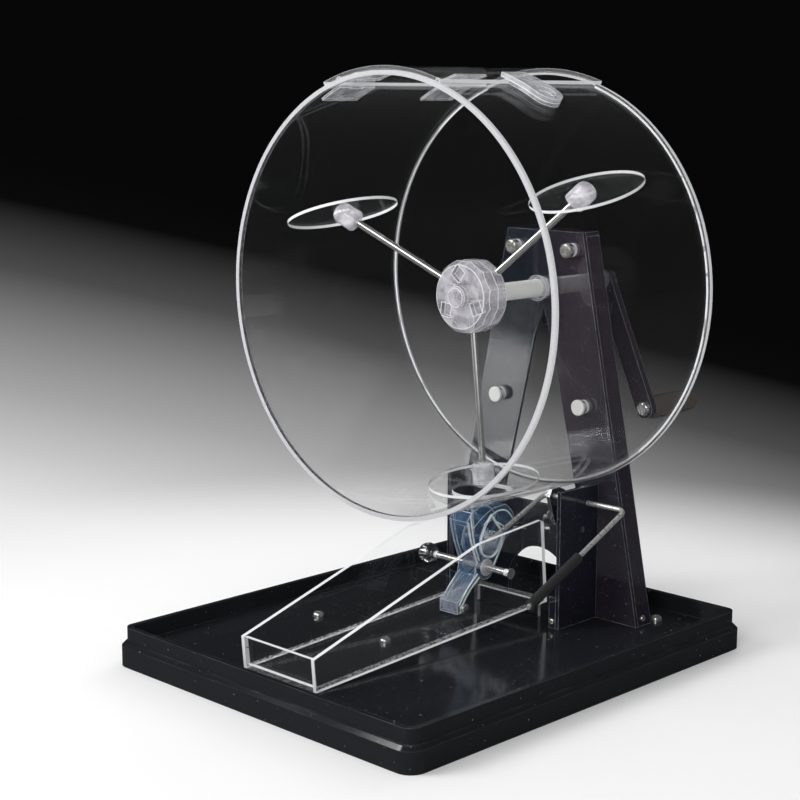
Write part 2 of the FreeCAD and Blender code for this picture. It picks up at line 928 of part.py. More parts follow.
def make_axle():
    """The axle tube, its bushes, the twelve-sided hub and the hub's cap."""
    start, finish = "hub_centre", "axle_rear"
    at = ("0", start, "axle_high")
    tube = rod("axle_blank", at, "y", "axle_radius", "%s - %s" % (finish, start))
    bore = rod("axle_core", at, "y", "axle_bore", "%s - %s" % (finish, start))
    node("axle_tube", cut(tube, bore))
    bush("axle_bushing", "drum_rear - sheet_thick - 2.5", "2.5", "9", -1)
    bush("rear_bushing", "panel_front + stand_depth", "2.5", "sheet_thick", 1)
    cap_at = ("0", "hub_centre - hub_half", "axle_high")
    node(
        "hub_cap",
        turned(
            "hub_cap",
            [
                ("0", "-30"),
                ("axle_bore - snug", "-30"),
                ("axle_bore - snug", "0"),
                ("hub_cap_radius", "0"),
                ("hub_cap_radius", "hub_cap_long - 1.2"),
                ("hub_cap_radius - 1.2", "hub_cap_long"),
                ("0", "hub_cap_long"),
            ],
            cap_at,
            -AXES["y"],
        ),
    )


def bush(name, flange_start, flange_long, sleeve_long, side):
    """A flanged bush round the axle. Its flange is in front of the sleeve, or behind it."""
    flange_at = ("0", flange_start, "axle_high")
    sleeve_start = "%s + %s" % (flange_start, flange_long)
    if side > 0:
        sleeve_start = "%s - %s" % (flange_start, sleeve_long)
    flange = rod(name + "_flange", flange_at, "y", "bush_flange", flange_long)
    sleeve = rod(name + "_sleeve", ("0", sleeve_start, "axle_high"), "y", "bush_radius", sleeve_long)
    first = flange_start if side < 0 else sleeve_start
    bore = rod(
        name + "_bore",
        ("0", first, "axle_high"),
        "y",
        "axle_radius + running",
        "%s + %s" % (flange_long, sleeve_long),
    )
    node(name, cut(fuse(flange, sleeve), bore))


def arm_line(side):
    """The hub's centre, the paddle's centre and the direction from one to the other."""
    hub = Vector(0, size("hub_centre"), size("axle_high"))
    paddle = PADDLES[side][0]
    return hub, paddle, (paddle - hub).normalize()


def arm_rod(name, side, radius):
    """A rod along one arm of the stirrer, from inside the hub to inside the holder."""
    hub, paddle, direction = arm_line(side)
    start = hub + direction * size("rod_start")
    bar = document.addObject("Part::Cylinder", name)
    bind(bar, "Radius", radius)
    bind(bar, "Height", "%.6f - rod_start - 3" % (paddle - hub).Length)
    bar.Placement = Placement(start, Rotation(AXES["z"], direction))
    return bar


HUB_POCKETS = (97, 217, 337)


def make_hub():
    """Two clear halves that meet on a seam, bored for axle and rods, with pockets in the front."""
    front = "hub_centre - hub_half"
    halves = {"front": front, "rear": "hub_centre"}
    for half, start in halves.items():
        at = ("0", start, "axle_high")
        blank = prism("hub_%s_blank" % half, 12, at, "y", "hub_radius", "hub_half")
        blank.Placement.Rotation = Rotation(AXES["y"], 15) * Rotation(AXES["x"], -90)
        chamfer = hub_bevel(half)
        body = document.addObject("Part::Common", "hub_%s_bevelled" % half)
        body.Base = blank
        body.Tool = chamfer
        bore = "axle_bore" if half == "front" else "axle_radius + snug"
        tools = [rod("hub_%s_bore" % half, at, "y", bore, "hub_half")]
        tools += [arm_rod("hub_%s_bore_%s" % (half, side), side, "rod_radius") for side in PADDLES]
        if half == "front":
            tools += [hub_pocket(index, angle) for index, angle in enumerate(HUB_POCKETS)]
        node("hub_%s_half" % half, cut(body, *tools))


def hub_bevel(half):
    """The turned blank that bevels the outer corners of one half."""
    side = -1 if half == "front" else 1
    return turned(
        "hub_%s_bevel" % half,
        [
            ("0", "0"),
            ("hub_radius", "0"),
            ("hub_radius", "hub_half - 4"),
            ("hub_radius - 3.5", "hub_half"),
            ("0", "hub_half"),
        ],
        ("0", "hub_centre", "axle_high"),
        AXES["y"] * side,
    )


def hub_pocket(index, angle):
    """A square pocket in the hub's front, standing on its corner."""
    turn = math.radians(angle)
    reach = 16.5
    pocket = prism(
        "hub_pocket_%d" % index,
        4,
        (
            "%.6f" % (reach * math.cos(turn)),
            "hub_centre - hub_half",
            "axle_high + %.6f" % (reach * math.sin(turn)),
        ),
        "y",
        "6.5",
        "4",
    )
    pocket.Placement.Rotation = Rotation(AXES["y"], -angle) * Rotation(AXES["x"], -90)
    return pocket


def make_arms():
    """Three leaning rods, each with a clear holder and a thin clear disc on its end."""
    for side in PADDLES:
        hub, paddle, direction = arm_line(side)
        node("arm_" + side, arm_rod("arm_" + side, side, "rod_radius"))
        at = ["%.6f" % value for value in paddle]
        profile = [
            ("0", "-13.5"),
            ("holder_radius - 2.5", "-13.5", "holder_radius - 0.73", "-12.77"),
            ("holder_radius", "-11"),
            ("holder_radius", "-1", "holder_radius - 1.25", "2.75"),
            ("3.5", "5"),
            ("0", "5"),
        ]
        blank = turned("holder_%s_blank" % side, profile, at, direction)
        socket = arm_rod("holder_%s_bore" % side, side, "rod_radius")
        node("holder_" + side, cut(blank, socket))
        normal = Vector(PADDLES[side][1]).normalize()
        disc_at = ["%.6f" % value for value in paddle - normal * (size("paddle_thick") / 2)]
        disc = rod("paddle_%s_blank" % side, disc_at, normal, "paddle_radius", "paddle_thick")
        hole = turned("paddle_%s_hole" % side, profile, at, direction)
        node("paddle_" + side, cut(disc, hole))


# ---------------------------------------------------------------- crank

CRANK_ACROSS = "crank_length * sin(crank_angle)"
CRANK_HIGH = "axle_high - crank_length * cos(crank_angle)"


def make_crank():
    """A bar with round ends on the axle's rear end, its nut, and the grip turning on its screw."""
    across, along = "(crank_wide / 2) * cos(crank_angle)", "(crank_wide / 2) * sin(crank_angle)"
    tip_across = "(%s + (crank_wide / 2) * sin(crank_angle))" % CRANK_ACROSS
    tip_high = "(%s - (crank_wide / 2) * cos(crank_angle))" % CRANK_HIGH
    outline = [
        ("-(%s)" % across, "axle_high - %s" % along),
        (
            "%s - %s" % (CRANK_ACROSS, across),
            "%s - %s" % (CRANK_HIGH, along),
            tip_across,
            tip_high,
            CRANK_ACROSS,
            CRANK_HIGH,
        ),
        ("%s + %s" % (CRANK_ACROSS, across), "%s + %s" % (CRANK_HIGH, along)),
        (across, "axle_high + %s" % along, "-(%s)" % along, "axle_high + " + across, "0", "axle_high"),
    ]
    holes = [
        ("0", "axle_high", "axle_bore + snug"),
        (CRANK_ACROSS, CRANK_HIGH, "grip_screw_radius + snug"),
    ]
    rear = "axle_rear + crank_thick"
    node("crank_arm", plate("crank_arm", "XZ_Plane", "axle_rear", rear, outline, holes=holes))
    nut = prism("crank_nut_head", 6, ("0", rear, "axle_high"), "y", "6.5", "4.5")
    shank_at = ("0", "axle_rear - 20", "axle_high")
    shank = rod("crank_nut_shank", shank_at, "y", "axle_bore - snug", "crank_thick + 22")
    node("crank_nut", fuse(nut, shank))
    grip_start = rear + " + 0.4"
    at = (CRANK_ACROSS, grip_start, CRANK_HIGH)
    grip = turned(
        "crank_grip",
        [
            ("grip_screw_radius + running", "0"),
            ("grip_radius - 1.5", "0"),
            ("grip_radius", "2", "grip_radius + 0.4", "(grip_long / 2)"),
            ("grip_radius - 0.6", "grip_long - 3", "grip_radius - 1.2", "grip_long - 1"),
            ("grip_radius - 3", "grip_long"),
            ("grip_screw_radius + running", "grip_long"),
        ],
        at,
        "y",
    )
    node("crank_grip", grip)
    screw_at = (CRANK_ACROSS, "axle_rear", CRANK_HIGH)
    grip_end = "-(crank_thick + grip_long + 0.8)"
    screw = turned(
        "crank_grip_screw",
        [
            ("0", grip_end + " - 1.8"),
            ("4", grip_end + " - 1.8"),
            ("5.2", grip_end + " - 0.8"),
            ("5.2", grip_end),
            ("grip_screw_radius", grip_end),
            ("grip_screw_radius", "0"),
            ("5.5", "0"),
            ("5.5", "2", "4.8", "2.9"),
            ("3.5", "3.4"),
            ("0", "3.4"),
        ],
        screw_at,
        -AXES["y"],
    )
    node("crank_grip_screw", screw)


# ---------------------------------------------------------------- chute


def chute_rise(along):
    """Height of the chute's underside at a depth."""
    slope = "(chute_rear_high - floor_top) / (chute_rear - chute_front)"
    return "(floor_top + ((%s) - chute_front) * %s)" % (along, slope)


def make_chute():
    """A clear channel that slopes to the front: floor, two tall walls, a front wall and a support."""
    inner_left, inner_right = "chute_left + sheet_thick", "chute_right - sheet_thick"
    wall = [
        ("chute_front", "floor_top"),
        ("chute_rear", "chute_rear_high"),
        ("chute_rear - 5.4", "chute_rear_high + 61.5"),
        ("chute_rear - 8.4", "chute_rear_high + 63"),
        ("chute_rear - 74.4", "chute_rear_high + 57.5"),
        ("chute_front - 2", "floor_top + 22.5"),
    ]
    holes = [("gate_pivot", "gate_high", "gate_bolt + snug")]
    node(
        "chute_left_wall",
        plate("chute_left_wall", "YZ_Plane", "chute_left", inner_left, wall, holes=holes),
    )
    node(
        "chute_right_wall",
        plate("chute_right_wall", "YZ_Plane", inner_right, "chute_right", wall, holes=holes),
    )
    floor = [
        ("chute_front", "floor_top"),
        ("chute_rear", "chute_rear_high"),
        ("chute_rear", "chute_rear_high + sheet_thick"),
        ("chute_front", "floor_top + sheet_thick"),
    ]
    node("chute_floor", plate("chute_floor", "YZ_Plane", inner_left, inner_right, floor))
    front = [
        ("chute_front", "floor_top + sheet_thick"),
        ("chute_front + sheet_thick", chute_rise("chute_front + sheet_thick") + " + sheet_thick"),
        ("chute_front + sheet_thick - 2", "floor_top + 22.5"),
        ("chute_front - 2", "floor_top + 22.5"),
    ]
    node("chute_front_wall", plate("chute_front_wall", "YZ_Plane", inner_left, inner_right, front))
    support = [
        ("chute_rear - sheet_thick", "floor_top"),
        ("chute_rear", "floor_top"),
        ("chute_rear", "chute_rear_high"),
        ("chute_rear - sheet_thick", chute_rise("chute_rear - sheet_thick")),
    ]
    node(
        "chute_rear_support",
        plate(
            "chute_rear_support",
            "YZ_Plane",
            "chute_left + 6",
            "chute_right - 6",
            support,
        ),
    )


# ---------------------------------------------------------------- gate and lever


def gate_corner(across, up, via_across=None, via_up=None):
    """A corner of the rocker's outline, measured from its pivot."""
    corner = ["gate_pivot + %s" % across, "gate_high + %s" % up]
    if via_across is not None:
        corner += ["gate_pivot + %s" % via_across, "gate_high + %s" % via_up]
    return tuple("(%s)" % value for value in corner)


def make_gate():
    """The moulded rocker: two arms that hold a ball between them, a tongue below, a window for the
    lever's end pin and a short pin that stands out of its rear arm."""
    outline = [
        gate_corner(-21, 37, -17.5, 23),
        gate_corner(-10.5, 5),
        gate_corner(-12.2, -3.5, -20.5, -12.5),
        gate_corner(-30.5, -20.5),
        gate_corner(-30.3, -29.2),
        gate_corner(-26.8, -28.8),
        gate_corner(-26.5, -24.5, -16.5, -14.5),
        gate_corner(-8, -5, -1, -9),
        gate_corner(7, -5),
        gate_corner(13.5, 6),
        gate_corner(20.5, 17.5),
        gate_corner(32.5, 25.5, 28.5, 36),
        gate_corner(20.5, 43.5),
        gate_corner(8, 43, -3, 38.5),
        gate_corner(-14, 31.5),
        gate_corner(-15.5, 43),
    ]
    window = [
        gate_corner(4.9, 36),
        gate_corner(17.5, 22),
        gate_corner(9.7, 8.5, 6.5, 7.2),
        gate_corner(1.5, 9, -3.5, 9.5),
        gate_corner(-7, 13, -6, 26),
    ]
    low, high = "-gate_half", "gate_half"
    rocker = plate(
        "gate_blank",
        "YZ_Plane",
        low,
        high,
        outline,
        [window],
        [("gate_pivot", "gate_high", "gate_bolt + running")],
    )
    boss = rod(
        "gate_boss",
        ("-gate_half - 1", "gate_pivot", "gate_high"),
        "x",
        "6",
        "2 * gate_half + 2",
    )
    bore = rod(
        "gate_bore",
        ("-gate_half - 1", "gate_pivot", "gate_high"),
        "x",
        "gate_bolt + running",
        "2 * gate_half + 2",
    )
    stop_at = ("gate_half - stop_socket", "gate_pivot + 27.5", "gate_high + 28")
    stop = rod("gate_stop_pin", stop_at, "x", "stop_radius", "stop_long")
    socket = rod("gate_stop_socket", stop_at, "x", "stop_radius", "stop_long")
    node("gate_rocker", cut(fuse(rocker, boss), bore, socket))
    node("gate_stop_pin", stop)


def make_gate_bolt():
    """The rocker's bolt through both chute walls, and the round knob on its left end."""
    length = "chute_right - chute_left + 12"
    bolt = turned(
        "gate_pivot_bolt",
        [
            ("0", "-(%s)" % length),
            ("gate_bolt", "-(%s)" % length),
            ("gate_bolt", "0"),
            ("gate_bolt + 1.5", "2"),
            ("gate_bolt + 1.5", "2.6"),
            ("0", "2.6"),
        ],
        ("chute_right", "gate_pivot", "gate_high"),
        "x",
    )
    node("gate_pivot_bolt", bolt)
    knob = turned(
        "gate_knob_blank",
        [
            ("0", "0"),
            ("5", "0"),
            ("5", "1.4"),
            ("6.2", "2.6"),
            ("gate_knob - 0.4", "4.8"),
            ("gate_knob", "7.2"),
            ("gate_knob - 0.7", "9.8"),
            ("5.8", "12"),
            ("4.2", "13"),
            ("0", "13"),
        ],
        ("chute_left", "gate_pivot", "gate_high"),
        -AXES["x"],
    )
    bore = rod(
        "gate_knob_bore",
        ("chute_left", "gate_pivot", "gate_high"),
        -AXES["x"],
        "gate_bolt + snug",
        "12 + snug",
    )
    node("gate_pivot_knob", cut(knob, bore))


def lever_route():
    """The wire's corners: grip end, outer bend, turning run, inner arm, end pin and its hook."""
    outer, inner = size("lever_outer"), size("lever_inner")
    axis, high = size("lever_axis"), size("lever_high")
    return [
        Vector(outer, axis - 105, high - 48.7),
        Vector(outer, axis - 52.5, high - 27),
        Vector(outer, axis, high),
        Vector(inner, axis, high),
        Vector(inner, axis - 50.2, high - 20.3),
        Vector(inner - 1.5, axis - 58, high - 24.5),
        Vector(-12, axis - 58, high - 24.5),
        Vector(-12, axis - 61, high - 33),
    ]


def rounded_wire(points, radius):
    """Straight runs joined by tangent arcs."""
    edges = []
    start = points[0]
    for before, corner, after in zip(points, points[1:], points[2:]):
        to_before = (before - corner).normalize()
        to_after = (after - corner).normalize()
        half = to_before.getAngle(to_after) / 2
        if half > math.radians(85):
            continue
        reach = radius / math.tan(half)
        first = corner + to_before * reach
        last = corner + to_after * reach
        bisector = (to_before + to_after).normalize()
        centre = corner + bisector * (radius / math.sin(half))
        middle = centre - bisector * radius
        edges.append(Part.LineSegment(start, first).toShape())
        edges.append(Part.Arc(first, middle, last).toShape())
        start = last
    edges.append(Part.LineSegment(start, points[-1]).toShape())
    return Part.Wire(edges)


def make_lever():
    """One bent steel wire and the sleeve on its outer end."""
    route = lever_route()
    straight = [route[0], *route[2:]]
    path = rounded_wire(straight, size("lever_bend"))
    along = (straight[1] - straight[0]).normalize()
    ring_edge = Part.makeCircle(size("lever_wire"), straight[0], along)
    wire = document.addObject("Part::Feature", "lever_wire")
    wire.Shape = path.makePipeShell([Part.Wire([ring_edge])], True, True)
    expected = math.pi * size("lever_wire") ** 2 * path.Length
    if abs(wire.Shape.Volume / expected - 1) > 0.01:
        raise RuntimeError("the lever's wire has the wrong volume")
    node("lever_wire", wire)
    start = straight[0] + along * 2
    sleeve_long = (route[1] - route[0]).Length
    at = ["%.6f" % value for value in start]
    sleeve = rod("lever_sleeve", at, along, "lever_grip", "%.6f" % sleeve_long)
    bore = rod("lever_sleeve_bore", at, along, "lever_wire", "%.6f" % sleeve_long)
    node("lever_grip", cut(sleeve, bore))


def check_and_export():
    """Stops at the first failed object, then writes each sub-part to its own file."""
    document.recompute()
    for thing in document.Objects:
        if "Invalid" in thing.State or "Error" in thing.State:
            raise RuntimeError("%s is %s" % (thing.Label, thing.State))
    for name, thing in nodes.items():
        shape = thing.Shape
        if shape.isNull() or not shape.isValid() or not shape.Solids:
            raise RuntimeError("%s has no valid solid" % name)
    os.makedirs("parts", exist_ok=True)
    for name, thing in nodes.items():
        thing.Shape.exportStep("parts/%s.step" % name)
    print("%d nodes, %d solids" % (len(nodes), sum(len(n.Shape.Solids) for n in nodes.values())))


fill_sheet()
make_tray()
make_base_fixings()
make_stand()
make_wings()
make_foot_screws()
make_lever_clip()
make_drum()
make_drum_fixings()
make_hinges()
make_hatch()
make_axle()
make_hub()
make_arms()
make_crank()
make_chute()
make_gate()
make_gate_bolt()
make_lever()
check_and_export()
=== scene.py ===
import bpy
import math
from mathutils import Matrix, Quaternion, Vector


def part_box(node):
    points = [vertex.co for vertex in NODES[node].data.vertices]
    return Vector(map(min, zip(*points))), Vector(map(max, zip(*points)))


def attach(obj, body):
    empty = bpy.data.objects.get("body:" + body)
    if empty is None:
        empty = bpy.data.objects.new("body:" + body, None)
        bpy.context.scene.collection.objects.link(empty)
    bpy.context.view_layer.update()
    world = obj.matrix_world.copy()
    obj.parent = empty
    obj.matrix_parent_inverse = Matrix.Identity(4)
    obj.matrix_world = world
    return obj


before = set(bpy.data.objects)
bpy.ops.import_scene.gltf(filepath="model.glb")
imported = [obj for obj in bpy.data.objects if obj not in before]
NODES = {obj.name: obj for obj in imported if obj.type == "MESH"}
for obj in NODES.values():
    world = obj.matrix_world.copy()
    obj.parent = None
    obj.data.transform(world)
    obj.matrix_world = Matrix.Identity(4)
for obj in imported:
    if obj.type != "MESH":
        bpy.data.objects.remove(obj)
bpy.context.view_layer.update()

# All lengths are in metres unless a comment says otherwise. X runs across the object, Y to its back.
ACROSS = Vector((1, 0, 0))
ALONG = Vector((0, 1, 0))
# Up and back, askew to every sheet, so that it tells a sheet's two faces apart
UPWARD = Vector((0.3, 0.5, 0.8))

# ---------------------------------------------------------------- colours, linear

BLACK = (0.013, 0.014, 0.016, 1)
# Paler black of worn corners, also a painted rim highlight
WORN_AND_HIGHLIGHT_BLACK = (0.13, 0.135, 0.14, 1)
TRAY_DUST = (0.22, 0.22, 0.22, 1)
SMOKE_VIOLET = (0.036, 0.026, 0.037, 1)
SMOKE_NAVY = (0.008, 0.012, 0.020, 1)
# Painted highlight along the corners of the smoked sheets
SMOKE_HIGHLIGHT = (0.30, 0.33, 0.37, 1)
STAND_DUST = (0.25, 0.26, 0.28, 1)
# Frosted white of sawn acrylic edges, also the painted highlight along moulded corners
FROSTED_AND_HIGHLIGHT_WHITE = (0.93, 0.94, 0.95, 1)
EDGE_SHADE = (0.80, 0.81, 0.83, 1)
EDGE_GREY = (0.60, 0.62, 0.64, 1)
GLUE_GREY = (0.52, 0.52, 0.54, 1)
HUB_LILAC = (0.50, 0.485, 0.53, 1)
HOLDER_LILAC = (0.66, 0.64, 0.69, 1)
HINGE_GREY = (0.50, 0.51, 0.53, 1)
ROCKER_BLUE = (0.055, 0.110, 0.190, 1)
# Pale blue of the painted highlights on the rocker's corners and raised ribs
ROCKER_HIGHLIGHT = (0.74, 0.83, 0.90, 1)
MOULD_CLEAR = (0.93, 0.93, 0.95, 1)
ALUMINIUM = (0.93, 0.93, 0.91, 1)
STEEL = (0.80, 0.80, 0.78, 1)
CHROME = (0.86, 0.86, 0.84, 1)
ZINC = (0.42, 0.42, 0.41, 1)
NICKEL = (0.55, 0.54, 0.50, 1)
# Dark steel of the rear bushing, also painted on the axle's rear end as shade
DARK_STEEL_AND_SHADE = (0.10, 0.10, 0.11, 1)
GRIP_BROWN = (0.050, 0.044, 0.040, 1)
SLEEVE_DARK = (0.018, 0.018, 0.019, 1)

# ---------------------------------------------------------------- places on the object

# The height of the drum's axis, and the drum's radius
DRUM_HIGH = sum(corner.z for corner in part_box("drum_front_disc")) / 2
DRUM_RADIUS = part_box("drum_front_disc")[1].x
# The thickness of the drum's discs, and where the greyer line lies in it, as a share
DISC_THICK = 0.003
SAWN_LINE = 0.66
# How wide the frosted band is where the wall is glued on each disc, and its soft border
GLUE_WIDTHS = {"front": DISC_THICK, "rear": 0.0014}
GLUE_BORDER = 0.0003
# Where the stand's right half goes over from navy to violet
VIOLET_FROM, VIOLET_TO = -0.02, 0.035

# The rocker's pivot along Y and Z, its boss with a radius and a soft border, and half the width of its arms
ROCKER_PIVOT = (0.0085, 0.0575)
ROCKER_BOSS = (*ROCKER_PIVOT, 0.0062)
BOSS_BORDER = 0.0004
ROCKER_HALF = 0.0085
# How far below the pivot the rocker's tongue has gone pale
TONGUE_PALE = 0.02
# The rocker's raised lines, as points along Y and up from its pivot, in millimetres
ROCKER_LINES = {
    "front_arm_inner": [(-17.3, 41.5), (-15.8, 31), (-12.6, 18), (-7.6, 6.5)],
    "front_arm_outer": [(-19.4, 36.5), (-17.6, 25.5), (-14, 15), (-9.6, 5.2)],
    "tongue_upper": [(-9.4, -3.2), (-17, -9.2), (-23.5, -15.8), (-28.6, -22.6)],
    "tongue_lower": [(-7.2, -6.2), (-14.5, -11.2), (-21, -17.4), (-26.6, -25.4)],
    "rear_arm_upper": [(-3, 31.8), (6, 38.6), (15, 40.4), (24, 38), (29, 31)],
    "rear_arm_lower": [(12, 31.5), (18.5, 26.5), (25, 27.5), (28.5, 30)],
    "rear_edge": [(6.8, -1.5), (12.4, 7), (18, 15.5), (20.5, 22.5)],
}
WINDOW_RIM = [
    (4.9, 38.2), (11.5, 30.2), (18.7, 21.4), (12, 9.1), (4.4, 5.9),
    (-5.2, 10.2), (-7, 21), (-1.5, 31.2), (4.9, 38.2),
]
RIB_RADIUS = 0.0006
RIM_RADIUS = 0.0009

# ---------------------------------------------------------------- places on the stage

# The camera of the picture: its place, how far round and down it looks in degrees, and its lens in mm
CAMERA_PLACE = (0.8025, -0.8841, 0.3939)
CAMERA_AZIMUTH = 44.66
CAMERA_DOWN = 10.15
CAMERA_ROLL = 0.15
CAMERA_LENS = 76.7
SENSOR = 36
CLIP_NEAR, CLIP_FAR = 0.05, 20

# The soft boxes: place, width, height, power in watts, and whether glossy faces show an image of it
LAMP_AIM = (0, 0, 0.2)
LAMPS = {
    "key": ((-1.1, -1.45, 1.5), 1.0, 1.0, 30, True),
    "fill": ((0.75, -1.75, 1.05), 0.9, 1.1, 15, True),
    "back": ((-0.5, 1.7, 1.2), 1.6, 0.7, 10, False),
}

# The round floor: its reach, its rings and spokes, its own tone, and the tone that glossy faces see
FLOOR_REACH = 4.0
FLOOR_RINGS, FLOOR_SPOKES = 16, 96
FLOOR_PALE = (0.90, 0.90, 0.90, 1)
FLOOR_DARK = (0.02, 0.02, 0.02, 1)
# How far from the middle the floor starts to fade into the backdrop, and where it is gone
FADE_NEAR, FADE_FAR = 0.26, 0.62
# The pale patch that glossy faces see: the direction it runs in, and where it starts and ends
PATCH_ALONG = (0.449, -0.894, 0)
PATCH_START, PATCH_END = 0.10, 0.437
# Half the soft border at its start, and how far the border at its end reaches in and out
PATCH_START_BORDER = 0.04
PATCH_END_IN, PATCH_END_OUT = 0.03, 0.12
# The direction across the patch's right side, how far out that side is, and half its soft border
PATCH_ACROSS = (0.770, -0.638, 0)
PATCH_SIDE = -0.066
PATCH_SIDE_BORDER = 0.02
# The pale round spot that they see too: its middle, its radius and half its soft border
SPOT = (0.9, -0.9, 0)
SPOT_RADIUS = 0.6
SPOT_BORDER = 0.1

# The backdrop's tones by the height of the line of sight, as the Z of its direction, in order
BACKDROP_LOWEST, BACKDROP_HIGHEST = -0.36, -0.08
BACKDROP_PALE, BACKDROP_DARK = 0.98, 0.002
BACKDROP = {
    -0.340: 0.96,
    -0.285: 0.80,
    -0.252: 0.57,
    -0.218: 0.37,
    -0.183: 0.22,
    -0.149: 0.07,
    -0.110: 0.003,
}
# How much the gradient tilts from side to side, how far out the tilt goes, and how strong the light is
# that comes from all round
TILT = 0.23
TILT_REACH = 0.25
AMBIENT = 0.5


# ---------------------------------------------------------------- node helpers


def start(name):
    """A material with an empty node tree."""
    material = bpy.data.materials.new(name)
    material.use_nodes = True
    material.node_tree.nodes.clear()
    return material, material.node_tree


def put(tree, socket, value):
    """Links a socket to another, or sets its value."""
    if isinstance(value, bpy.types.NodeSocket):
        tree.links.new(value, socket)
    else:
        socket.default_value = value


def add(tree, kind, **inputs):
    """A shader node with its inputs filled in."""
    made = tree.nodes.new("ShaderNode" + kind)
    for name, value in inputs.items():
        put(tree, made.inputs[name.replace("_", " ")], value)
    return made


def maths(tree, operation, *values):
    """One step of arithmetic."""
    made = tree.nodes.new("ShaderNodeMath")
    made.operation = operation
    for socket, value in zip(made.inputs, values):
        put(tree, socket, value)
    return made.outputs[0]


def vectors(tree, operation, *values):
    """One step of vector arithmetic."""
    made = tree.nodes.new("ShaderNodeVectorMath")
    made.operation = operation
    for socket, value in zip(made.inputs, values):
        put(tree, socket, value)
    return made.outputs["Value" if operation in ("DOT_PRODUCT", "LENGTH") else "Vector"]


def ramp(tree, value, low, high, out_low, out_high):
    """A value carried smoothly from one range to another, held at the ends."""
    made = add(tree, "MapRange", Value=value)
    made.interpolation_type = "SMOOTHSTEP"
    for name, number in (("From Min", low), ("From Max", high), ("To Min", out_low), ("To Max", out_high)):
        put(tree, made.inputs[name], number)
    return made.outputs["Result"]


def where_on(tree):
    """The place of a point in the piece's own coordinates."""
    return tree.nodes.new("ShaderNodeTexCoord").outputs["Object"]


def where_along(tree, axis):
    """The place of a point along one axis."""
    return add(tree, "SeparateXYZ", Vector=where_on(tree)).outputs[axis]


def stretched(tree, scale):
    """The place of a point, with each axis drawn out or pressed flat."""
    return vectors(tree, "MULTIPLY", where_on(tree), scale)


def squareness(tree, direction):
    """1 where the surface looks along a direction or against it, and 0 where it looks aside."""
    normal = tree.nodes.new("ShaderNodeTexCoord").outputs["Normal"]
    return maths(tree, "ABSOLUTE", vectors(tree, "DOT_PRODUCT", normal, direction))


def noise(tree, scale, detail=4, stretch=(1, 1, 1)):
    """Cloudy noise in the piece's own coordinates."""
    return add(tree, "TexNoise", Vector=stretched(tree, stretch), Scale=scale, Detail=detail).outputs["Fac"]


def bumped(tree, height, strength, distance):
    """A normal from a height."""
    return add(tree, "Bump", Height=height, Strength=strength, Distance=distance).outputs["Normal"]


def blend_colour(tree, share, first, second):
    """A colour between two, by a share."""
    made = tree.nodes.new("ShaderNodeMix")
    made.data_type = "RGBA"
    for name, value in (("Factor", share), ("A", first), ("B", second)):
        socket = next(s for s in made.inputs if s.name == name and s.enabled)
        put(tree, socket, value)
    return next(s for s in made.outputs if s.enabled)


def shade(colour, factor):
    """A colour made paler or darker."""
    return tuple(min(factor * c, 1) for c in colour[:3]) + (1,)


def finish_with(tree, material, shader):
    """The material, with its surface connected."""
    output = tree.nodes.new("ShaderNodeOutputMaterial")
    tree.links.new(shader.outputs[0], output.inputs["Surface"])
    return material


def principled(tree, material, **inputs):
    """The material, with one shader that has these inputs."""
    return finish_with(tree, material, add(tree, "BsdfPrincipled", **inputs))


# ---------------------------------------------------------------- where a material changes


def mirror_share(tree, gloss):
    """How much a polished sheet mirrors, by the angle that it is seen at."""
    facing = add(tree, "LayerWeight", Blend=0.5).outputs["Facing"]
    return maths(tree, "MULTIPLY_ADD", maths(tree, "POWER", facing, 5), 0.6 * gloss, 0.02 * gloss)


def edge_share(tree, facing):
    """1 on the sawn edges of a sheet and 0 on its polished faces. facing is the direction that the
    faces look to, or "drum" for a sheet that is bent round the drum's axis."""
    if facing == "drum":
        away = vectors(tree, "SUBTRACT", where_on(tree), (0, 0, DRUM_HIGH))
        facing = vectors(tree, "NORMALIZE", vectors(tree, "MULTIPLY", away, (1, 0, 1)))
    return ramp(tree, squareness(tree, facing), 0.4, 0.6, 1, 0)


def corner_share(tree, radius, soft=0.985):
    """1 along the sharp corners of a piece and 0 on its faces. The nearer soft is to 1, the flatter the
    corners that count."""
    rounded = add(tree, "Bevel", Radius=radius)
    rounded.samples = 6
    flat = tree.nodes.new("ShaderNodeNewGeometry").outputs["Normal"]
    along = vectors(tree, "DOT_PRODUCT", rounded.outputs["Normal"], flat)
    return ramp(tree, along, soft - 7 * (1 - soft), soft, 1, 0)


def glued_share(tree, radius):
    """1 beyond a radius from the drum's axis, and 0 inside it."""
    where = vectors(tree, "SUBTRACT", stretched(tree, (1, 0, 1)), (0, 0, DRUM_HIGH))
    return ramp(tree, vectors(tree, "LENGTH", where), radius - GLUE_BORDER, radius, 0, 1)


def boss_share(tree, along, up, radius):
    """1 inside a round boss that runs from side to side, and 0 outside it."""
    off = vectors(tree, "SUBTRACT", where_on(tree), (0, along, up))
    off = vectors(tree, "LENGTH", vectors(tree, "MULTIPLY", off, (0, 1, 1)))
    return ramp(tree, off, radius - BOSS_BORDER, radius + BOSS_BORDER, 1, 0)


def sawn_stripe(tree):
    """The greyer line that runs along the rim of a disc, inside its thickness."""
    from_front = maths(tree, "SUBTRACT", where_along(tree, "Y"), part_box("drum_front_disc")[0].y)
    across = maths(tree, "FRACT", maths(tree, "DIVIDE", from_front, DISC_THICK))
    off_line = maths(tree, "ABSOLUTE", maths(tree, "SUBTRACT", across, SAWN_LINE))
    return ramp(tree, off_line, 0.08, 0.2, 0.8, 0)


def speckles(tree, scale):
    """Dark dashes, as in a glued seam with bubbles in it."""
    return ramp(tree, noise(tree, scale, 2, (1, 1, 3)), 0.42, 0.56, 0.2, 1)


# ---------------------------------------------------------------- materials


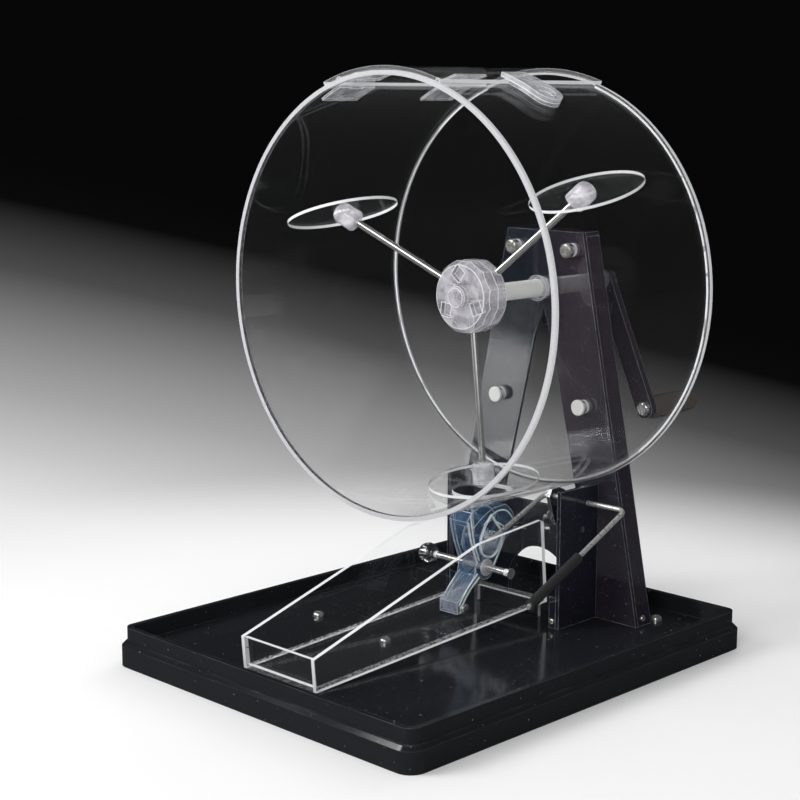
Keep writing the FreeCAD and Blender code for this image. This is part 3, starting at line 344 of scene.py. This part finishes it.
def clear_sheet(name, facing, gloss=1.0, speckled=0, sawn_line=False, faint=None, glued_rim=0, lined=0):
    """Polished clear acrylic whose sawn edges are matt and bright. speckled is the scale of dark dashes on
    them. faint is a direction and a strength: edges that don't look that way are only so strong. Beyond
    the radius glued_rim a disc is frosted too. lined is the width of bright lines along the corners."""
    material, tree = start(name)
    edge = edge_share(tree, facing)
    grain = noise(tree, 900, 3)
    tone = blend_colour(tree, ramp(tree, grain, 0.35, 0.65, 0, 1), FROSTED_AND_HIGHLIGHT_WHITE, EDGE_SHADE)
    edge_solid = ramp(tree, grain, 0.3, 0.7, 0.84, 1.0)
    if speckled:
        edge_solid = maths(tree, "MULTIPLY", edge_solid, speckles(tree, speckled))
    if faint:
        direction, strength = faint
        kept = ramp(tree, squareness(tree, direction), 0.4, 0.7, strength, 1)
        edge_solid = maths(tree, "MULTIPLY", edge_solid, kept)
    if sawn_line:
        tone = blend_colour(tree, sawn_stripe(tree), tone, EDGE_GREY)
    if glued_rim:
        glued = glued_share(tree, glued_rim)
        tone = blend_colour(tree, maths(tree, "SUBTRACT", glued, edge), tone, GLUE_GREY)
        edge = maths(tree, "MAXIMUM", edge, glued)
    if lined:
        lines = maths(tree, "MULTIPLY", corner_share(tree, lined), 0.8)
        edge_solid = maths(tree, "MAXIMUM", edge_solid, lines)
    smears = ramp(tree, noise(tree, 14, 5), 0.55, 0.8, 0.0, 0.006 * gloss)
    pane = maths(tree, "ADD", mirror_share(tree, gloss), smears)
    return principled(
        tree,
        material,
        Base_Color=tone,
        Metallic=ramp(tree, edge, 0, 1, 0.9, 0),
        Roughness=ramp(tree, edge, 0, 1, 0.015, 0.42),
        Alpha=maths(tree, "MULTIPLY_ADD", edge, maths(tree, "SUBTRACT", edge_solid, pane), pane),
        Normal=bumped(tree, noise(tree, 6, 2), 0.04, 0.002),
    )


def smoked_sheet(name, solid, mirror, violet):
    """Dark translucent acrylic, glossy, with painted highlights along its corners, faint haze and fine dust.
    solid is how much of the light it stops, mirror its IOR, and violet how far its right half goes from navy
    to violet."""
    material, tree = start(name)
    corner = corner_share(tree, 0.0007)
    haze = noise(tree, 7, 5)
    dust = ramp(tree, noise(tree, 620, 2), 0.69, 0.76, 0, 1)
    right = ramp(tree, where_along(tree, "X"), VIOLET_FROM, VIOLET_TO, 0, violet)
    warm = maths(tree, "MULTIPLY", ramp(tree, haze, 0.36, 0.6, 1, 0.55), right)
    colour = blend_colour(tree, warm, SMOKE_NAVY, SMOKE_VIOLET)
    colour = blend_colour(tree, dust, colour, STAND_DUST)
    # Painted highlights: the corners are made pale, stronger in some places than others
    highlight_strength = ramp(tree, noise(tree, 300, 4), 0.35, 0.6, 0.35, 0.95)
    colour = blend_colour(tree, maths(tree, "MULTIPLY", corner, highlight_strength), colour, SMOKE_HIGHLIGHT)
    return principled(
        tree,
        material,
        Base_Color=colour,
        Roughness=ramp(tree, haze, 0.3, 0.8, 0.03, 0.10),
        IOR=mirror,
        # The painted highlights along the corners are solid
        Alpha=maths(tree, "MAXIMUM", corner, ramp(tree, haze, 0.3, 0.7, solid - 0.05, solid + 0.05)),
        Normal=bumped(tree, noise(tree, 8, 2), 0.05, 0.002),
    )


def milky_moulding(name, colour, solid, line=FROSTED_AND_HIGHLIGHT_WHITE, radius=0.0006, soft=0.985, boss=None):
    """Clear plastic out of a mould: hazy inside, with painted highlights along its corners and a slightly
    wavy skin. solid is how much of the light its clearest and its haziest places stop. boss is a round
    boss, along Y, up and its radius, that is paler than the rest, as is what lies far below it."""
    material, tree = start(name)
    corner = corner_share(tree, radius, soft)
    cloud = noise(tree, 110, 4)
    deep = noise(tree, 260, 3)
    tone = blend_colour(tree, ramp(tree, cloud, 0.38, 0.62, 0, 1), colour, shade(colour, 1.25))
    stopped = ramp(tree, cloud, 0.36, 0.64, *solid)
    if boss:
        up = boss[1]
        below = ramp(tree, where_along(tree, "Z"), up - TONGUE_PALE, up, 0.35, 0)
        pale = maths(tree, "MAXIMUM", boss_share(tree, *boss), below)
        tone = blend_colour(tree, pale, tone, HOLDER_LILAC)
        stopped = maths(tree, "MAXIMUM", stopped, maths(tree, "MULTIPLY", pale, 0.7))
    return principled(
        tree,
        material,
        # Painted highlights: the corners take the line colour and are nearly solid
        Base_Color=blend_colour(tree, corner, tone, line),
        Roughness=ramp(tree, deep, 0.3, 0.7, 0.054, 0.144),
        IOR=1.55,
        Alpha=maths(tree, "MAXIMUM", maths(tree, "MULTIPLY", corner, 0.95), stopped),
        Normal=bumped(tree, deep, 0.3, 0.0006),
    )


def crystal_moulding(name):
    """Solid clear plastic that bends the light, as in a turned knob."""
    material, tree = start(name)
    return principled(
        tree,
        material,
        Base_Color=MOULD_CLEAR,
        Roughness=ramp(tree, noise(tree, 90, 4), 0.3, 0.7, 0.01, 0.06),
        IOR=1.49,
        Transmission_Weight=1.0,
        Normal=bumped(tree, noise(tree, 300, 3), 0.35, 0.0008),
    )


def black_moulding(name):
    """Glossy black plastic with dust, fine scratches, and corners made paler by wear and a painted rim
    highlight.
    """
    material, tree = start(name)
    dust = ramp(tree, noise(tree, 420, 2), 0.71, 0.77, 0, 1)
    scratches = ramp(tree, noise(tree, 60, 6, (1, 9, 1)), 0.6, 0.75, 0, 1)
    # Corners paler by wear and by a painted rim highlight, broken up by noise
    wear_and_highlight = ramp(tree, noise(tree, 40, 4), 0.4, 0.7, 0.15, 0.6)
    wear_and_highlight = maths(tree, "MULTIPLY", corner_share(tree, 0.0009), wear_and_highlight)
    colour = blend_colour(tree, dust, BLACK, TRAY_DUST)
    smooth = ramp(tree, noise(tree, 9, 4), 0.3, 0.7, 0.07, 0.15)
    return principled(
        tree,
        material,
        Base_Color=blend_colour(tree, wear_and_highlight, colour, WORN_AND_HIGHLIGHT_BLACK),
        Roughness=maths(tree, "MULTIPLY_ADD", scratches, 0.10, smooth),
        IOR=1.44,
        Normal=bumped(tree, noise(tree, 35, 3), 0.05, 0.001),
    )


def metal(name, colour, rough, stretch=(1, 1, 1), grain=400, depth=0.1, metallic=1.0, shaded_from=None):
    """Metal with a fine grain, which a stretch draws out to brush marks. One that isn't all metallic
    stands for a satin finish that scatters white. Behind the place given along Y, it is painted dark as
    shade."""
    material, tree = start(name)
    marks = noise(tree, grain, 4, stretch)
    tone = blend_colour(tree, noise(tree, 90, 3), colour, shade(colour, 0.82))
    # Painted shade: the tube's rear end, behind the stand, is darkened, though the tube is the same metal all
    # along
    if shaded_from:
        painted_shade = ramp(tree, where_along(tree, "Y"), shaded_from, shaded_from + 0.004, 0, 1)
        tone = blend_colour(tree, painted_shade, tone, DARK_STEEL_AND_SHADE)
    return principled(
        tree,
        material,
        Base_Color=tone,
        Metallic=metallic,
        Roughness=ramp(tree, marks, 0.25, 0.75, rough * 0.7, rough * 1.4),
        Normal=bumped(tree, marks, depth, 0.0002),
    )


def dark_plastic(name, colour, rough, depth, mirror=1.5):
    """Moulded dark plastic with a fine grain. mirror is its IOR."""
    material, tree = start(name)
    return principled(
        tree,
        material,
        Base_Color=blend_colour(tree, noise(tree, 45, 4), colour, shade(colour, 1.7)),
        Roughness=ramp(tree, noise(tree, 30, 4), 0.3, 0.7, rough * 0.8, rough * 1.2),
        IOR=mirror,
        Normal=bumped(tree, noise(tree, 900, 3), depth, 0.0003),
    )


# ---------------------------------------------------------------- frame


def give(piece, material):
    """Makes a material the only one of a piece."""
    piece.data.materials.clear()
    piece.data.materials.append(material)


def paint(material, *names):
    """Gives CAD nodes their material."""
    for name in names:
        give(NODES[name], material)


def face_direction(name):
    """The direction that the larger faces of a sheet look to, from its own mesh. Of the two, it is the
    one nearer to UPWARD."""
    total = {}
    for face in NODES[name].data.polygons:
        normal = face.normal if face.normal.dot(UPWARD) > 0 else -face.normal
        key = tuple(round(value, 1) for value in normal)
        area, whole = total.get(key, (0, Vector()))
        total[key] = (area + face.area, whole + normal * face.area)
    return max(total.values(), key=lambda entry: entry[0])[1].normalized()


def dress_drum():
    """The clear drum, its spacers and its hatch."""
    for side, width in GLUE_WIDTHS.items():
        glued_rim = DRUM_RADIUS - width
        disc = clear_sheet(side + "_disc_clear", ALONG, gloss=0.5, sawn_line=True, glued_rim=glued_rim)
        paint(disc, "drum_%s_disc" % side)
    paint(clear_sheet("drum_wall_clear", "drum", gloss=0.9, faint=(ALONG, 0.22)), "drum_shell")
    paint(clear_sheet("spacer_clear", ALONG), "drum_spacers")
    paint(clear_sheet("lid_clear", "drum", gloss=0.2, faint=(ACROSS, 0.12), lined=0.0005), "hatch_lid")
    hinge = milky_moulding("hinge_clear", HINGE_GREY, (0.28, 0.50), radius=0.0009)
    paint(hinge, "hinge_lid_leaves", "hinge_shell_leaves")
    tab = milky_moulding("tab_clear", HINGE_GREY, (0.40, 0.62), radius=0.0008)
    paint(tab, "lid_tab_upper", "lid_tab_lower")


def dress_chute():
    """The clear chute under the drum."""
    paint(clear_sheet("chute_wall_clear", ACROSS), "chute_left_wall", "chute_right_wall")
    for name in ("chute_front_wall", "chute_rear_support"):
        paint(clear_sheet(name + "_clear", face_direction(name)), name)
    up = face_direction("chute_floor")
    floor = clear_sheet("chute_floor_clear", up, gloss=0.6, speckled=420, faint=(ACROSS, 0.22))
    paint(floor, "chute_floor")


def dress_stand():
    """The smoked stand and the black tray."""
    stand = smoked_sheet("stand_smoke", solid=0.88, mirror=2.2, violet=0.9)
    paint(stand, "stand_front_panel", "stand_side_left", "stand_side_right", "stand_top_plate")
    paint(stand, "stand_rear_plate", "lever_clip")
    wing = smoked_sheet("wing_smoke", solid=0.93, mirror=1.6, violet=0.3)
    paint(wing, "wing_left", "wing_right", "wing_feet")
    paint(black_moulding("tray_black"), "base_tray")


def dress_stirrer():
    """The stirrer in the drum, its axle and its crank."""
    for side in ("left", "right", "lower"):
        name = "paddle_" + side
        paint(clear_sheet(name + "_clear", face_direction(name), gloss=0.3), name)
    hub = milky_moulding("hub_clear", HUB_LILAC, (0.28, 0.56), radius=0.0011, soft=0.995)
    paint(hub, "hub_front_half", "hub_rear_half", "hub_cap")
    holder = milky_moulding("holder_clear", HOLDER_LILAC, (0.34, 0.66), radius=0.0008, soft=0.995)
    paint(holder, "holder_left", "holder_right")
    paint(milky_moulding("cup_clear", HINGE_GREY, (0.50, 0.75)), "holder_lower")
    paint(metal("bright_rod", STEEL, 0.16, metallic=0.85), "arm_left", "arm_right", "arm_lower", "hinge_pins")
    brushed = {"stretch": (1, 0.05, 1), "grain": 700, "depth": 0.25, "metallic": 0.1}
    stand_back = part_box("stand_rear_plate")[1].y
    # The axle gets painted shade behind the stand's rear plate
    paint(metal("axle_aluminium", ALUMINIUM, 0.42, shaded_from=stand_back, **brushed), "axle_tube")
    paint(milky_moulding("bush_clear", HINGE_GREY, (0.18, 0.35)), "axle_bushing")
    paint(metal("dull_steel", DARK_STEEL_AND_SHADE, 0.4), "rear_bushing")
    paint(smoked_sheet("crank_smoke", solid=0.88, mirror=1.6, violet=1.0), "crank_arm")
    paint(dark_plastic("grip_plastic", GRIP_BROWN, 0.24, 0.1), "crank_grip")


def dress_gate():
    """The rocking gate, its bolt's knob and its lever."""
    rocker = milky_moulding(
        "rocker_blue", ROCKER_BLUE, (0.32, 0.60), line=ROCKER_HIGHLIGHT, radius=0.0009, boss=ROCKER_BOSS
    )
    paint(rocker, "gate_rocker")
    paint(crystal_moulding("knob_crystal"), "gate_pivot_knob", "gate_stop_pin")
    paint(metal("lever_steel", STEEL, 0.32, depth=0.03, metallic=0.7), "lever_wire")
    paint(dark_plastic("sleeve_plastic", SLEEVE_DARK, 0.36, 0.15, mirror=2.0), "lever_grip")


def dress_fasteners():
    """Screws, bolts and nuts."""
    plated = metal("plated_steel", CHROME, 0.2, metallic=0.85)
    paint(plated, "base_screws", "stand_foot_screws", "crank_grip_screw", "gate_pivot_bolt")
    paint(metal("nickel_steel", NICKEL, 0.3, metallic=0.8), "drum_upper_screws")
    paint(metal("satin_steel", CHROME, 0.45, metallic=0.25), "drum_lower_caps")
    paint(metal("zinc_steel", ZINC, 0.34), "base_nuts", "drum_mount_nuts", "crank_nut")


# ---------------------------------------------------------------- rocker ribs


def rib(name, points, side, radius, material):
    """A raised line on one side of the rocker."""
    data = bpy.data.curves.new(name, "CURVE")
    data.dimensions = "3D"
    data.bevel_depth = radius
    data.bevel_resolution = 3
    data.use_fill_caps = True
    line = data.splines.new("NURBS")
    line.points.add(len(points) - 1)
    for point, (along, up) in zip(line.points, points):
        point.co = (side, ROCKER_PIVOT[0] + along / 1000, ROCKER_PIVOT[1] + up / 1000, 1)
    line.order_u = 3
    line.use_endpoint_u = True
    drawn = bpy.data.objects.new(name + "_line", data)
    piece = bpy.data.objects.new(name, bpy.data.meshes.new_from_object(drawn))
    bpy.data.objects.remove(drawn)
    bpy.context.scene.collection.objects.link(piece)
    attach(piece, "gate")
    give(piece, material)
    for face in piece.data.polygons:
        face.use_smooth = True


def make_rocker_ribs():
    """The rocker's raised ribs and the rim round its window, on both sides, coloured pale as painted
    highlights.
    """
    material = milky_moulding("rib_blue", ROCKER_HIGHLIGHT, (0.75, 0.95))
    low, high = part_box("gate_rocker")
    middle = (low.x + high.x) / 2
    for side_name, side in (("left", middle - ROCKER_HALF), ("right", middle + ROCKER_HALF)):
        for name, points in ROCKER_LINES.items():
            rib("rocker_%s_%s" % (name, side_name), points, side, RIB_RADIUS, material)
        rib("rocker_window_rim_%s" % side_name, WINDOW_RIM, side, RIM_RADIUS, material)


# ---------------------------------------------------------------- stage


def make_camera():
    """The camera at the picture's viewing angle."""
    data = bpy.data.cameras.new("camera")
    data.lens = CAMERA_LENS
    data.sensor_width = SENSOR
    data.clip_start, data.clip_end = CLIP_NEAR, CLIP_FAR
    camera = bpy.data.objects.new("camera", data)
    turn, down = math.radians(CAMERA_AZIMUTH), math.radians(CAMERA_DOWN)
    back = Vector((math.sin(turn) * math.cos(down), -math.cos(turn) * math.cos(down), math.sin(down)))
    camera.rotation_mode = "QUATERNION"
    upright = (-back).to_track_quat("-Z", "Y")
    camera.rotation_quaternion = upright @ Quaternion((0, 0, 1), math.radians(CAMERA_ROLL))
    camera.location = CAMERA_PLACE
    bpy.context.scene.collection.objects.link(camera)
    bpy.context.scene.camera = camera


def make_lamp(name, at, wide, high, power, mirrored):
    """A soft box that looks at the object. One that isn't mirrored leaves no image in glossy faces."""
    data = bpy.data.lights.new(name, "AREA")
    data.shape = "RECTANGLE"
    data.size, data.size_y = wide, high
    data.energy = power
    box = bpy.data.objects.new(name, data)
    box.location = at
    box.visible_glossy = mirrored
    box.rotation_mode = "QUATERNION"
    box.rotation_quaternion = (Vector(LAMP_AIM) - Vector(at)).to_track_quat("-Z", "Y")
    bpy.context.scene.collection.objects.link(box)


def floor_mesh():
    """A flat round mesh, in rings that widen outward."""
    points = [(0, 0, 0)]
    for ring in range(1, FLOOR_RINGS + 1):
        radius = FLOOR_REACH * (ring / FLOOR_RINGS) ** 1.5
        for spoke in range(FLOOR_SPOKES):
            turn = 2 * math.pi * spoke / FLOOR_SPOKES
            points.append((radius * math.cos(turn), radius * math.sin(turn), 0))
    faces = []
    for spoke in range(FLOOR_SPOKES):
        after = (spoke + 1) % FLOOR_SPOKES
        faces.append((0, 1 + spoke, 1 + after))
    for ring in range(1, FLOOR_RINGS):
        inner, outer = 1 + (ring - 1) * FLOOR_SPOKES, 1 + ring * FLOOR_SPOKES
        for spoke in range(FLOOR_SPOKES):
            after = (spoke + 1) % FLOOR_SPOKES
            faces.append((inner + spoke, outer + spoke, outer + after, inner + after))
    data = bpy.data.meshes.new("floor")
    data.from_pydata(points, [], faces)
    return data


def outside_patches(tree):
    """1 on the floor outside the pale patch and the round spot, and 0 inside them."""
    run = vectors(tree, "DOT_PRODUCT", where_on(tree), PATCH_ALONG)
    before = ramp(tree, run, PATCH_START - PATCH_START_BORDER, PATCH_START + PATCH_START_BORDER, 1, 0)
    past = ramp(tree, run, PATCH_END - PATCH_END_IN, PATCH_END + PATCH_END_OUT, 0, 1)
    aside = vectors(tree, "DOT_PRODUCT", where_on(tree), PATCH_ACROSS)
    aside = ramp(tree, aside, PATCH_SIDE - PATCH_SIDE_BORDER, PATCH_SIDE + PATCH_SIDE_BORDER, 0, 1)
    off_patch = maths(tree, "MAXIMUM", maths(tree, "MAXIMUM", past, before), aside)
    off_spot = vectors(tree, "LENGTH", vectors(tree, "SUBTRACT", where_on(tree), SPOT))
    off_spot = ramp(tree, off_spot, SPOT_RADIUS - SPOT_BORDER, SPOT_RADIUS + SPOT_BORDER, 0, 1)
    return maths(tree, "MULTIPLY", off_patch, off_spot)


def make_floor():
    """A pale round floor that fades into the backdrop. Glossy faces see it pale only in a patch at the
    front left, which shows in the stand's left leg, and in a round spot at the front right, which lights
    up the rods. Elsewhere they see it dark."""
    material, tree = start("floor_pale")
    path = tree.nodes.new("ShaderNodeLightPath").outputs
    mirrored = maths(tree, "MAXIMUM", path["Is Glossy Ray"], path["Is Transmission Ray"])
    dark = maths(tree, "MULTIPLY", outside_patches(tree), mirrored)
    tone = blend_colour(tree, dark, FLOOR_PALE, FLOOR_DARK)
    pale = add(tree, "BsdfPrincipled", Base_Color=tone, Roughness=0.85)
    far = ramp(tree, vectors(tree, "LENGTH", where_on(tree)), FADE_NEAR, FADE_FAR, 0, 1)
    fade = add(tree, "MixShader", Fac=maths(tree, "MULTIPLY", path["Is Camera Ray"], far))
    tree.links.new(pale.outputs[0], fade.inputs[1])
    tree.links.new(tree.nodes.new("ShaderNodeBsdfTransparent").outputs[0], fade.inputs[2])
    finish_with(tree, material, fade)
    floor = bpy.data.objects.new("floor", floor_mesh())
    bpy.context.scene.collection.objects.link(floor)
    give(floor, material)


def grey(tone):
    """A grey colour."""
    return (tone, tone, tone, 1)


def backdrop_colour(tree):
    """The backdrop's colour by the direction that it is seen in: pale below and dark above."""
    direction = tree.nodes.new("ShaderNodeTexCoord").outputs["Generated"]
    height = add(tree, "SeparateXYZ", Vector=direction).outputs["Z"]
    turn = math.radians(CAMERA_AZIMUTH)
    aside = vectors(tree, "DOT_PRODUCT", direction, (math.cos(turn), math.sin(turn), 0))
    aside = add(tree, "Clamp", Value=aside, Min=-TILT_REACH, Max=TILT_REACH).outputs["Result"]
    height = maths(tree, "MULTIPLY_ADD", aside, TILT, height)
    share = add(tree, "MapRange", Value=height, From_Min=BACKDROP_LOWEST, From_Max=BACKDROP_HIGHEST)
    table = add(tree, "ValToRGB", Fac=share.outputs["Result"])
    stops = table.color_ramp.elements
    stops[0].color = grey(BACKDROP_PALE)
    stops[1].color = grey(BACKDROP_DARK)
    for level, tone in BACKDROP.items():
        stop = stops.new((level - BACKDROP_LOWEST) / (BACKDROP_HIGHEST - BACKDROP_LOWEST))
        stop.color = grey(tone)
    return table.outputs["Color"]


def make_world():
    """Soft ambient light, and the backdrop for what is seen directly, mirrored or through a clear piece."""
    world = bpy.data.worlds.new("studio")
    world.use_nodes = True
    tree = world.node_tree
    tree.nodes.clear()
    seen = add(tree, "Background", Color=backdrop_colour(tree), Strength=1.0)
    ambient = add(tree, "Background", Color=grey(1), Strength=AMBIENT)
    path = tree.nodes.new("ShaderNodeLightPath").outputs
    share = maths(tree, "MAXIMUM", path["Is Camera Ray"], path["Is Glossy Ray"])
    share = maths(tree, "MAXIMUM", share, path["Is Transmission Ray"])
    mix = add(tree, "MixShader", Fac=share)
    tree.links.new(ambient.outputs[0], mix.inputs[1])
    tree.links.new(seen.outputs[0], mix.inputs[2])
    output = tree.nodes.new("ShaderNodeOutputWorld")
    tree.links.new(mix.outputs[0], output.inputs["Surface"])
    bpy.context.scene.world = world


def set_view():
    """Plain view colours, and light paths long enough for many clear sheets."""
    scene = bpy.context.scene
    scene.view_settings.view_transform = "Standard"
    scene.cycles.transparent_max_bounces = 64
    scene.cycles.max_bounces = 24
    scene.cycles.transmission_bounces = 20


dress_drum()
dress_chute()
dress_stand()
dress_stirrer()
dress_gate()
dress_fasteners()
make_rocker_ribs()
make_camera()
make_floor()
make_world()
for lamp_name, settings in LAMPS.items():
    make_lamp(lamp_name, *settings)
set_view()
bpy.context.view_layer.update()
